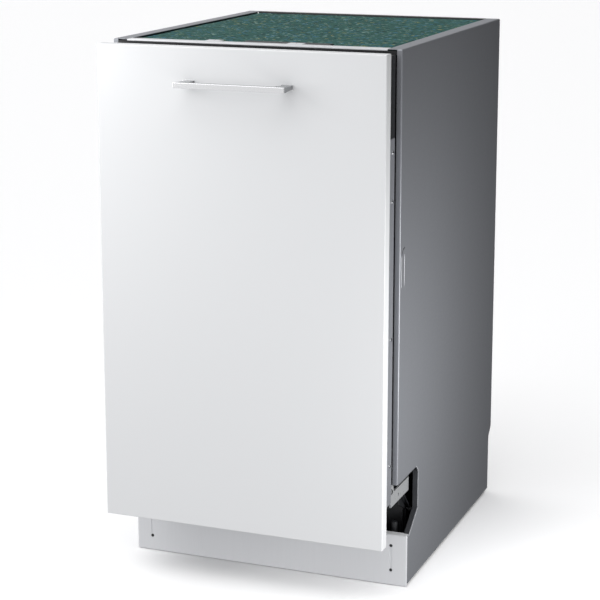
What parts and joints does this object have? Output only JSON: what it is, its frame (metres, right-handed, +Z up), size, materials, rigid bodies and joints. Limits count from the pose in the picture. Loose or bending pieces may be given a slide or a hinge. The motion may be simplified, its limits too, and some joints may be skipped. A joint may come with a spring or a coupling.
{
  "type": "built-in dishwasher",
  "caption": "Slim fully integrated dishwasher with a white furniture door, bar handle, grey steel sides, felt-topped tub, plinth, two sliding racks and spray arms.",
  "frame": {"origin": "centre of the footprint on the floor, in the middle of the overall box (handle included)", "axes": "+Z up, -Y out of the door towards the user, +X to the user's right"},
  "size_m": [0.451, 0.607, 0.815],
  "materials": {
    "side_steel": "satin grey coated steel sheet",
    "plinth_steel": "satin light grey coated steel sheet",
    "stainless": "fine brushed stainless steel",
    "zinc_steel": "bright zinc-plated steel",
    "white_lacquer": "white satin lacquer over fibreboard",
    "handle_metal": "satin silver",
    "black_plastic": "fine-textured black",
    "grey_plastic": "satin grey",
    "light_plastic": "satin pale grey",
    "felt": "coarse recycled-fibre felt, blue-green with pale flecks",
    "rubber": "dull dark grey",
    "rack_coating": "smooth pale grey coating on wire",
    "spring_steel": "oiled spring wire"
  },
  "bodies": {
    "cabinet": {"side_panel_right": "side_steel", "side_panel_left": "side_steel", "rear_panel": "side_steel", "top_front_rail": "plinth_steel", "plinth_panel": "plinth_steel", "top_rear_rail": "black_plastic", "door_lock_housing": "black_plastic", "base_tray": "black_plastic", "sump_housing": "black_plastic", "power_inlet": "black_plastic", "top_insulation_mat": "felt", "tub_wrapper": "stainless", "tub_rear_wall": "stainless", "tub_floor": "stainless", "fine_filter_plate": "stainless", "upper_rack_rail_right": "stainless", "upper_rack_rail_left": "stainless", "tub_door_seal": "rubber", "hinge_bracket_right": "zinc_steel", "hinge_bracket_left": "zinc_steel", "spring_cup_left": "zinc_steel", "spring_cup_right": "zinc_steel", "door_spring_right": "spring_steel", "door_spring_left": "spring_steel", "circulation_pump": "grey_plastic", "drain_pump": "grey_plastic", "water_feed_pipe": "grey_plastic", "water_inlet_valve": "light_plastic", "salt_reservoir": "light_plastic", "air_break_chamber": "light_plastic"},
    "door": {"door_outer_panel": "side_steel", "door_inner_liner": "stainless", "control_panel": "black_plastic", "door_latch_hook": "zinc_steel", "dispenser_body": "grey_plastic", "hinge_arm_right": "zinc_steel", "hinge_arm_left": "zinc_steel", "furniture_panel": "white_lacquer", "bar_handle": "handle_metal"},
    "upper_rack_body": {"upper_rack": "rack_coating"},
    "lower_rack_body": {"lower_rack": "rack_coating"},
    "lower_spray_arm_body": {"lower_spray_arm": "grey_plastic"},
    "upper_spray_arm_body": {"upper_spray_arm": "grey_plastic"},
    "rack_wheel_front_left_body": {"rack_wheel_front_left": "grey_plastic"},
    "rack_wheel_front_right_body": {"rack_wheel_front_right": "grey_plastic"},
    "rack_wheel_rear_left_body": {"rack_wheel_rear_left": "grey_plastic"},
    "rack_wheel_rear_right_body": {"rack_wheel_rear_right": "grey_plastic"},
    "cutlery_basket_body": {"cutlery_basket": "grey_plastic"},
    "power_button_body": {"power_button": "grey_plastic"},
    "program_button_body": {"program_button": "grey_plastic"},
    "start_button_body": {"start_button": "grey_plastic"},
    "dispenser_lid_body": {"dispenser_lid": "grey_plastic"},
    "rinse_aid_cap_body": {"rinse_aid_cap": "grey_plastic"},
    "salt_cap_body": {"salt_cap": "grey_plastic"},
    "filter_cup_body": {"filter_cup": "grey_plastic"},
    "float_switch_body": {"float_switch": "light_plastic"},
    "front_left_foot_body": {"front_left_foot": "zinc_steel"},
    "front_right_foot_body": {"front_right_foot": "zinc_steel"},
    "rear_foot_body": {"rear_foot": "zinc_steel"}
  },
  "joints": [
    {"name": "door_hinge", "type": "hinge", "parent": "cabinet", "child": "door", "pos_m": [0.0015, -0.2175, 0.166], "axis": [1, 0, 0], "range_deg": [0, 90], "stiffness_Nm_per_rad": 16, "deforming": ["door_spring_right", "door_spring_left"]},
    {"name": "upper_rack_slide", "type": "slide", "parent": "cabinet", "child": "upper_rack_body", "axis": [0, -1, 0], "range_m": [0, 0.351]},
    {"name": "lower_rack_slide", "type": "slide", "parent": "cabinet", "child": "lower_rack_body", "axis": [0, -1, 0], "range_m": [0, 0.19]},
    {"name": "lower_spray_arm_spin", "type": "hinge", "parent": "cabinet", "child": "lower_spray_arm_body", "pos_m": [0.0015, 0.0205, 0.201], "axis": [0, 0, 1], "continuous": true},
    {"name": "upper_spray_arm_spin", "type": "hinge", "parent": "upper_rack_body", "child": "upper_spray_arm_body", "pos_m": [0.0015, 0.0205, 0.448], "axis": [0, 0, 1], "continuous": true},
    {"name": "front_left_wheel_roll", "type": "hinge", "parent": "lower_rack_body", "child": "rack_wheel_front_left_body", "pos_m": [-0.1912, -0.1245, 0.205], "axis": [1, 0, 0], "continuous": true},
    {"name": "front_right_wheel_roll", "type": "hinge", "parent": "lower_rack_body", "child": "rack_wheel_front_right_body", "pos_m": [0.1942, -0.1245, 0.205], "axis": [1, 0, 0], "continuous": true},
    {"name": "rear_left_wheel_roll", "type": "hinge", "parent": "lower_rack_body", "child": "rack_wheel_rear_left_body", "pos_m": [-0.1912, 0.1805, 0.205], "axis": [1, 0, 0], "continuous": true},
    {"name": "rear_right_wheel_roll", "type": "hinge", "parent": "lower_rack_body", "child": "rack_wheel_rear_right_body", "pos_m": [0.1942, 0.1805, 0.205], "axis": [1, 0, 0], "continuous": true},
    {"name": "cutlery_basket_lift", "type": "slide", "parent": "lower_rack_body", "child": "cutlery_basket_body", "axis": [0, 0, 1], "range_m": [0, 0.06]},
    {"name": "dispenser_lid_hinge", "type": "hinge", "parent": "door", "child": "dispenser_lid_body", "pos_m": [-0.0355, -0.2275, 0.415], "axis": [-1, 0, 0], "range_deg": [0, 90]},
    {"name": "rinse_aid_cap_turn", "type": "hinge", "parent": "door", "child": "rinse_aid_cap_body", "pos_m": [0.0275, -0.2255, 0.445], "axis": [0, 1, 0], "range_deg": [0, 90]},
    {"name": "power_button_press", "type": "slide", "parent": "door", "child": "power_button_body", "axis": [0, 0, -1], "range_m": [0, 0.0012], "stiffness_N_per_m": 400},
    {"name": "program_button_press", "type": "slide", "parent": "door", "child": "program_button_body", "axis": [0, 0, -1], "range_m": [0, 0.0012], "stiffness_N_per_m": 400},
    {"name": "start_button_press", "type": "slide", "parent": "door", "child": "start_button_body", "axis": [0, 0, -1], "range_m": [0, 0.0012], "stiffness_N_per_m": 400},
    {"name": "salt_cap_turn", "type": "hinge", "parent": "cabinet", "child": "salt_cap_body", "pos_m": [-0.1285, 0.1105, 0.189], "axis": [0, 0, 1], "range_deg": [0, 360]},
    {"name": "filter_cup_turn", "type": "hinge", "parent": "cabinet", "child": "filter_cup_body", "pos_m": [0.0715, -0.0635, 0.165], "axis": [0, 0, 1], "range_deg": [0, 90]},
    {"name": "float_rise", "type": "slide", "parent": "cabinet", "child": "float_switch_body", "axis": [0, 0, 1], "range_m": [0, 0.008]},
    {"name": "front_left_foot_height", "type": "slide", "parent": "cabinet", "child": "front_left_foot_body", "axis": [0, 0, -1], "range_m": [0, 0.04]},
    {"name": "front_right_foot_height", "type": "slide", "parent": "cabinet", "child": "front_right_foot_body", "axis": [0, 0, -1], "range_m": [0, 0.04]},
    {"name": "rear_foot_height", "type": "slide", "parent": "cabinet", "child": "rear_foot_body", "axis": [0, 0, -1], "range_m": [0, 0.04]}
  ],
  "couplings": [
    {"joint": "upper_rack_slide", "follows": "door_hinge", "m_per_rad": 0.223},
    {"joint": "lower_rack_slide", "follows": "door_hinge", "m_per_rad": 0.12}
  ]
}
